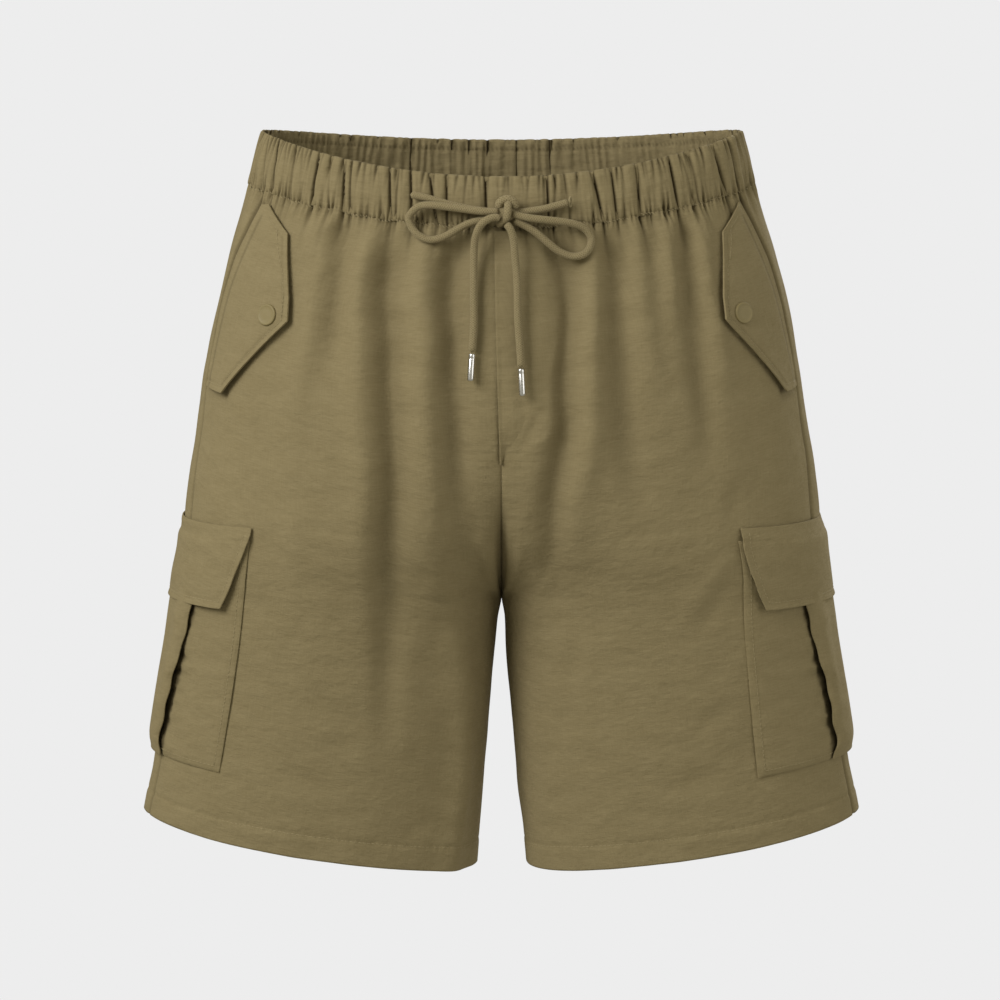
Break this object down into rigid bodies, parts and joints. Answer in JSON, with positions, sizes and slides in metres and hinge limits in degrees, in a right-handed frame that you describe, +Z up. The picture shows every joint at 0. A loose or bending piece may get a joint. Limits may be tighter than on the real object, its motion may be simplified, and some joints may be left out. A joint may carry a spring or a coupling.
{
  "type": "cargo shorts",
  "caption": "Cargo shorts, filled out and empty: gathered drawstring waist, mock fly, hip flaps with covered snaps and raised cargo pockets with flaps.",
  "frame": {"origin": "centre of the waistband ring at the middle of its height at the sides, where the wearer holds it up", "axes": "+X to the wearer's left, -Y to the wearer's front, +Z up along the wearer"},
  "size_m": [0.5268, 0.2436, 0.5396],
  "materials": {
    "cloth": "matt crinkled plain weave, khaki",
    "cord": "matt round braid, khaki",
    "snap": "matt cap in the cloth's colour",
    "metal": "satin silver"
  },
  "bodies": {
    "root": {"waistband": "cloth", "front_left": "cloth", "front_right": "cloth", "back_left": "cloth", "back_right": "cloth", "fly_placket": "cloth", "hip_flap_left": "cloth", "hip_flap_right": "cloth", "hip_snap_left": "snap", "hip_snap_right": "snap", "cargo_gusset_left": "cloth", "cargo_gusset_right": "cloth", "cargo_face_left": "cloth", "cargo_face_right": "cloth", "cargo_flap_left": "cloth", "cargo_flap_right": "cloth", "cord_lead_left": "cord", "cord_lead_right": "cord", "cord_loop_left": "cord", "cord_loop_right": "cord", "cord_end_left": "cord", "cord_end_right": "cord", "cord_knot": "cord", "cord_tip_left": "metal", "cord_tip_right": "metal"}
  },
  "joints": []
}
